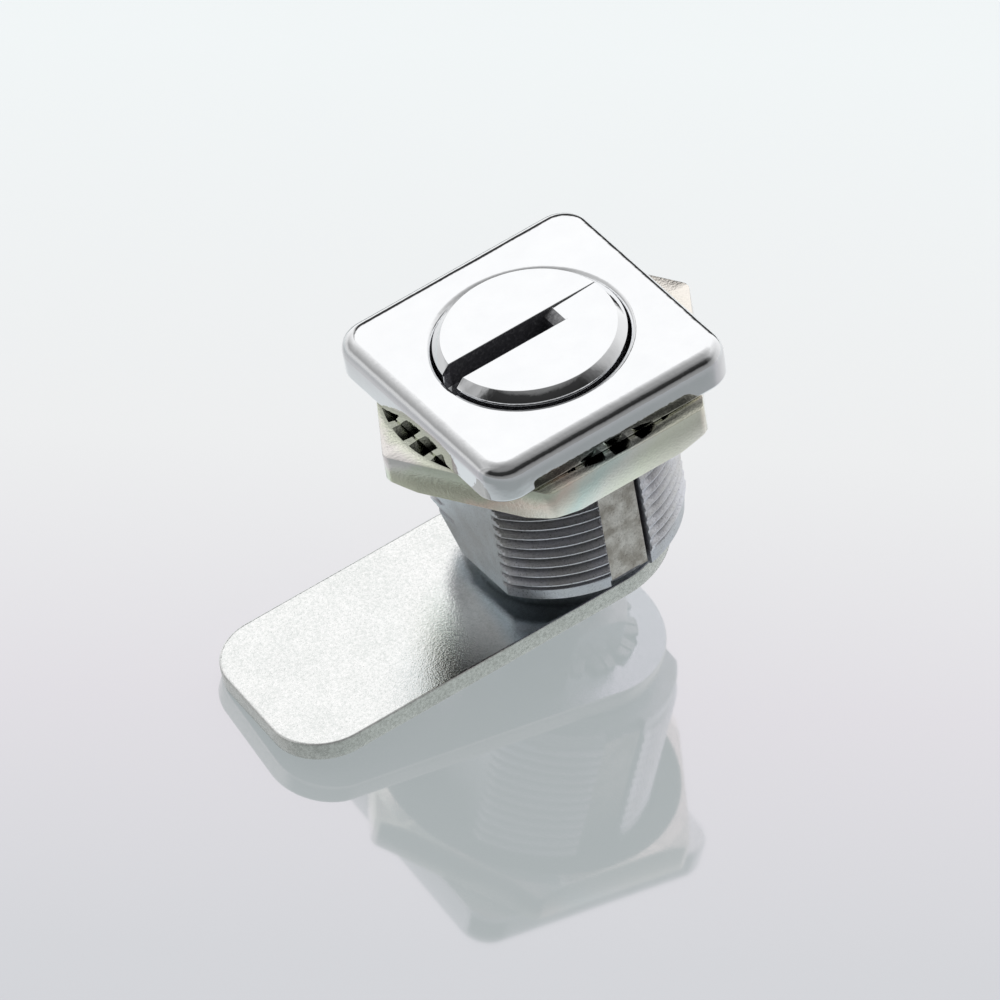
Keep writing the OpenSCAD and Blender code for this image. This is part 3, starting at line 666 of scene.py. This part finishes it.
def nitrile_rubber():
    """Moulded black rubber of the seal: matt, with a dusty bloom in fine patches."""
    m, tree, shader, place = finish("nitrile_rubber", 0.0, 0.6, Specular_IOR_Level=0.3)
    bloom = add(tree, "ShaderNodeTexNoise", [("Vector", place)], Scale=per_mm(0.6), Detail=4.0)
    tint = add(tree, "ShaderNodeValToRGB", [("Fac", bloom.outputs["Fac"])], stops=[(0, "#161616"), (1, "#2C2C2B")])
    rough = add(tree, "ShaderNodeMapRange", [("Value", bloom.outputs["Fac"])], To_Min=0.5, To_Max=0.75)
    bump = add(tree, "ShaderNodeBump", [("Height", bloom.outputs["Fac"])], Strength=0.2, Distance=0.0001)
    feed(tree, shader, tint.outputs["Color"], bump, rough)
    return m


mirror, gold, groove_shade = polished_chrome(), yellow_zinc(), groove_shade_finish()
cast = cast_chrome("cast_chrome", 3.0, ("#C4C4BE", "#D8DAD9", "#E2E6E9", "#F2F4F8"))
# 0.55 is the painted shade in the thread's grooves
thread = cast_chrome("cast_thread", 3.0, ("#CDCDC9", "#E2E3E5", "#EAECF3", "#F8F8FC"), 0.55)
slot_end = cast_chrome("milled_end", 0.5, ("#58585A", "#86868A", "#AEAEB0", "#F0F0F2"))
plain_land = cast_chrome("land_as_cast", 1.1, ("#6E685F", "#A9A299", "#D3CEC7", "#F6F2EC"))
plain_flat = cast_chrome("flat_as_cast", 2.0, ("#ABADAE", "#BDC1C4", "#C8CED2", "#D8DDE3"))
# the last colour is the painted shade beside the body's flat
cam_plate = satin_zinc("satin_zinc", "#E3E6E4", "#FCFCFB", 0.07, 0.13, "#E9F4FC")
cam_edge = satin_zinc("sheared_edge", "#B4B4AE", "#D8D8D2", 0.2, 0.34)
dull_plate = satin_zinc("dull_zinc", "#A9ACAC", "#C9CCCA", 0.34, 0.5)
spring = satin_zinc("zinc_on_spring_steel", "#8F9294", "#B4B7B8", 0.3, 0.45)
bright_plate = satin_zinc("zinc_on_screw", "#B9BCBD", "#DADDDD", 0.2, 0.34)

for piece, material, record_slot, rider, nodes in [
        (head(), mirror, "chromed_casting", "root", ["housing"]),
        (body(), thread, "chromed_casting", "root", ["housing"]),
        (dial(), mirror, "chromed_rotor", "rotor", ["rotor"]),
        (barrel(), cast, "chromed_rotor", "rotor", ["rotor"]),
        (nut(), gold, "yellow_zinc_steel", "nut", ["hex_nut"]),
        (stop_washer(), dull_plate, "zinc_steel", "rotor", ["stop_washer"]),
        (cam(), cam_plate, "cam_steel", "rotor", ["cam"]),
        (lock_washer(), spring, "spring_steel", "rotor", ["lock_washer"]),
        (screw(), bright_plate, "screw_steel", "rotor", ["cam_screw"])]:
    piece.data.materials.append(material)
    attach(piece, rider)
    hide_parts(*nodes)


def second_finish(name, material, chosen):
    """Gives a piece's faces another material where chosen says so, from a face's middle in mm and the
    upward part of its normal."""
    data = bpy.data.objects[name].data
    data.materials.append(material)
    middle, normal = np.zeros(3 * len(data.polygons)), np.zeros(3 * len(data.polygons))
    index = np.zeros(len(data.polygons), np.int32)
    data.polygons.foreach_get("center", middle)
    data.polygons.foreach_get("normal", normal)
    data.polygons.foreach_get("material_index", index)
    index[chosen(*middle.reshape(-1, 3).T / MM, normal[2::3])] = len(data.materials) - 1
    data.polygons.foreach_set("material_index", index)


def in_slot(x, y, z, up):
    """Floor and walls of the dial's slot, up to just below the mark."""
    return (np.abs(y) < SLOT_HALF + 0.002) & (z < MARK_Z - 0.01) & (z > SLOT_FLOOR - 0.01) & (np.hypot(x, y) < 6.7)


def on_slope(x, y, z, up):
    """The slope at the slot's blind end."""
    return in_slot(x, y, z, up) & (x < SLOPE - SLOT_PAST) & (up > 0.6)


def on_land(x, y, z, up):
    """The plain lands along the body."""
    return (np.abs(x) < LAND_HALF) & (np.abs(np.abs(y) - LAND_Y) < 0.02) & (z > LAND_END)


def in_slit(x, y, z, up):
    """The slit beside each land and the recess below its end."""
    beside = x * np.sign(y)
    groove = (np.abs(y) > 8.3) & (np.hypot(x, y) < 9.0) & (np.abs(x) < SLIT_X + 0.02) & (beside > -SLIT_X + 0.04)
    return groove & ((beside < -LAND_HALF + 0.01) | (z < LAND_END + 0.05))


def on_flat(x, y, z, up):
    """The body's two flats."""
    return (np.abs(np.abs(x) - FLAT_X) < 0.04) & (np.abs(up) < 0.1)


def in_pocket(x, y, z, up):
    """Wall and floor of the head's pocket below its mouth."""
    return (np.hypot(x, y) < POCKET_R + 0.01) & (z < HEAD_H - MOUTH_DOWN)


# painted shade: the slot, the slits with the recesses below the lands, and the pocket take the dark groove finish
second_finish("dial", groove_shade, in_slot)
second_finish("dial", slot_end, on_slope)
second_finish("threaded_body", plain_land, on_land)
second_finish("threaded_body", groove_shade, in_slit)
second_finish("threaded_body", plain_flat, on_flat)
second_finish("lock_head", groove_shade, in_pocket)
second_finish("punched_cam", cam_edge, lambda x, y, z, up: np.abs(up) < 0.6)
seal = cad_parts["rotor_seal"]
seal.data.materials.clear()
seal.data.materials.append(nitrile_rubber())

# ---------------------------------------------------------------- table and light
TABLE_LEVEL, TABLE_SLOPE_X, TABLE_SLOPE_Y = -21.95, 0.1307, -0.0978
BOARD_HALF, BOARD_BACK, BOARD_FRONT = 0.5, -0.14, 0.6
GLOW, GLOW_SEEN, PATCH_MIDDLE = 1.035, 0.4, (-9.2 * MM, -24.5 * MM, 0)


def table():
    """A pale glossy table top under the cam's tip and the screw. It mirrors a good part of what
    stands on it, and its mirror is painted darker towards the camera, as painted shade. Its glow stands for the
    light box
    below the board: less of it away from the lock, and for later bounces only in a patch behind it."""
    up = Vector((-TABLE_SLOPE_X, -TABLE_SLOPE_Y, 1)).normalized()
    near = (TO_CAMERA - up * TO_CAMERA.dot(up)).normalized()
    side = near.cross(up)
    corners = [(-BOARD_HALF, BOARD_BACK, 0), (BOARD_HALF, BOARD_BACK, 0),
               (BOARD_HALF, BOARD_FRONT, 0), (-BOARD_HALF, BOARD_FRONT, 0)]
    mesh = bpy.data.meshes.new("table")
    mesh.from_pydata(corners, [], [(0, 1, 2, 3)])
    top = bpy.data.objects.new("table", mesh)
    turned = Matrix((-side, near, up)).transposed().to_4x4()
    top.matrix_world = Matrix.Translation((0, 0, TABLE_LEVEL * MM)) @ turned
    bpy.context.scene.collection.objects.link(top)
    m = bpy.data.materials.new("glossy_white_board")
    m.use_nodes = True
    tree = m.node_tree
    tree.nodes.clear()
    place = add(tree, "ShaderNodeTexCoord").outputs["Object"]
    axes = add(tree, "ShaderNodeSeparateXYZ", [(0, place)])
    far = add(tree, "ShaderNodeMapRange", [("Value", axes.outputs["Y"])], From_Min=-0.075, From_Max=0.06)
    # painted shade: the mirror's colour darkens towards the camera
    white = add(tree, "ShaderNodeValToRGB", [("Fac", far.outputs["Result"])],
                stops=[(0, "#FFFFFF"), (0.12, "#FFFFFF"), (0.445, "#F7F0F0"), (0.65, "#DFCFD8"),
                       (0.85, "#C2B8C0"), (1, "#B9AFB8")])
    matt = add(tree, "ShaderNodeBsdfDiffuse", Color=from_hex("#F2F5F6"))
    gloss = add(tree, "ShaderNodeBsdfGlossy", [("Color", white.outputs["Color"])], Roughness=0.045)
    lit = add(tree, "ShaderNodeMixShader", [(1, matt.outputs[0]), (2, gloss.outputs[0])], Fac=0.73)
    glow = add(tree, "ShaderNodeEmission", Color=from_hex("#EFF9FB"), Strength=GLOW)
    ray = add(tree, "ShaderNodeLightPath")
    away = add(tree, "ShaderNodeVectorMath", [(0, place)], operation="LENGTH")
    near_share = add(tree, "ShaderNodeMapRange", [("Value", away.outputs["Value"])],
                     From_Min=24 * MM, From_Max=38 * MM, To_Min=0.62, To_Max=0.25)
    patch = add(tree, "ShaderNodeVectorMath", [(0, place)], operation="DISTANCE")
    patch.inputs[1].default_value = PATCH_MIDDLE
    patch_share = add(tree, "ShaderNodeMapRange", [("Value", patch.outputs["Value"])],
                      From_Min=13 * MM, From_Max=20 * MM, To_Min=0.9, To_Max=0.0)
    share = add(tree, "ShaderNodeMapRange",
                [("Value", ray.outputs["Ray Depth"]), ("To Min", near_share.outputs["Result"]),
                 ("To Max", patch_share.outputs["Result"])], From_Min=1.0, From_Max=2.0)
    seen = add(tree, "ShaderNodeMix", [(0, ray.outputs["Is Camera Ray"]), (2, share.outputs["Result"])],
               B=GLOW_SEEN)
    both = add(tree, "ShaderNodeMixShader", [(0, seen.outputs[0]), (1, lit.outputs[0]), (2, glow.outputs[0])])
    add(tree, "ShaderNodeOutputMaterial", [("Surface", both.outputs[0])])
    mesh.materials.append(m)


# dark layers of the dome: stops over azimuth, the other ramp's name and stops, and the light left where
# both are 1; the leaning band's ramp runs over elevation - azimuth - BAND_LEAN
BAND_LEAN = 132
LAYERS = [
    ([(-180, 0.27), (-165, 0.2), (-150, 0), (-30, 0), (-22, 0.5), (-12, 0.55), (-3, 0.95), (4, 1), (117, 1),
      (134, 0.88), (149, 0.57), (163, 0.45), (180, 0.27)],
     "elevation", [(-90, 0.5), (0, 0.75), (6, 0.78), (14, 0.82), (21, 0.95), (25, 1), (47, 0.985), (52, 0.84),
                   (58, 0.7), (65, 0.55), (72, 0.4), (90, 0)], 0.02),
    ([(-180, 0), (-112, 0), (-98, 0.3), (-85, 0.65), (-70, 1), (-34, 1), (-10, 0)],
     "elevation", [(-90, 0.6), (0, 0.6), (14, 0.55), (20, 0.75), (26, 1), (33, 0.95), (40, 0.85), (48, 0.65),
                   (62, 0)], 0.34),
    ([(-180, 0), (-165, 0.6), (-150, 1), (-108, 1), (-102, 0)],
     "band", [(-90, 0), (-16, 0), (-6, 1), (12, 1), (20, 0)], 0.03),
    ([(-180, 1), (180, 1)],
     "elevation", [(-90, 0), (46, 0), (52, 0.28), (59, 0.46), (66, 0.58), (72, 0.66), (90, 0.8)], 0.02)]


def studio():
    """Soft white dome with a dark zone on the camera's side, a grey one to its left and a thin dark band
    low at the back. Each is a ramp over azimuth times a ramp over elevation, both in degrees."""
    world = bpy.data.worlds.new("studio")
    bpy.context.scene.world = world
    world.use_nodes = True
    tree = world.node_tree
    tree.nodes.clear()
    axes = add(tree, "ShaderNodeSeparateXYZ", [(0, add(tree, "ShaderNodeTexCoord").outputs["Generated"])])
    turn = add(tree, "ShaderNodeMath", [(0, axes.outputs["Y"]), (1, axes.outputs["X"])], operation="ARCTAN2")
    rise = add(tree, "ShaderNodeMath", [(0, axes.outputs["Z"])], operation="ARCSINE")
    azimuth = add(tree, "ShaderNodeMapRange", [("Value", turn.outputs[0])], From_Min=-math.pi, From_Max=math.pi)
    elevation = add(tree, "ShaderNodeMapRange", [("Value", rise.outputs[0])],
                    From_Min=-math.pi / 2, From_Max=math.pi / 2)
    band = add(tree, "ShaderNodeMath", [(0, rise.outputs[0]), (1, turn.outputs[0])], operation="SUBTRACT")
    band = add(tree, "ShaderNodeMapRange", [("Value", band.outputs[0])],
               From_Min=math.radians(BAND_LEAN - 90), From_Max=math.radians(BAND_LEAN + 90))
    ramps = {"elevation": elevation, "band": band}
    light = None
    for stops_a, ramp, stops_e, level in LAYERS:
        a = add(tree, "ShaderNodeValToRGB", [("Fac", azimuth.outputs["Result"])],
                stops=[((s + 180) / 360, v) for s, v in stops_a])
        e = add(tree, "ShaderNodeValToRGB", [("Fac", ramps[ramp].outputs["Result"])],
                stops=[((s + 90) / 180, v) for s, v in stops_e])
        share = add(tree, "ShaderNodeMath", [(0, a.outputs["Color"]), (1, e.outputs["Color"])],
                    operation="MULTIPLY")
        layer = add(tree, "ShaderNodeMapRange", [("Value", share.outputs[0])], To_Min=1.0, To_Max=level)
        light = layer.outputs["Result"] if light is None else add(
            tree, "ShaderNodeMath", [(0, light), (1, layer.outputs["Result"])], operation="MULTIPLY").outputs[0]
    dome = add(tree, "ShaderNodeBackground", [("Color", light)], Strength=1.07)
    plain = add(tree, "ShaderNodeBackground", Color=from_hex("#F4F5F6"), Strength=1.0)
    ray = add(tree, "ShaderNodeLightPath")
    both = add(tree, "ShaderNodeMixShader",
               [(0, ray.outputs["Is Camera Ray"]), (1, dome.outputs[0]), (2, plain.outputs[0])])
    add(tree, "ShaderNodeOutputWorld", [("Surface", both.outputs[0])])


table()
studio()
bpy.context.scene.view_settings.view_transform = "Standard"
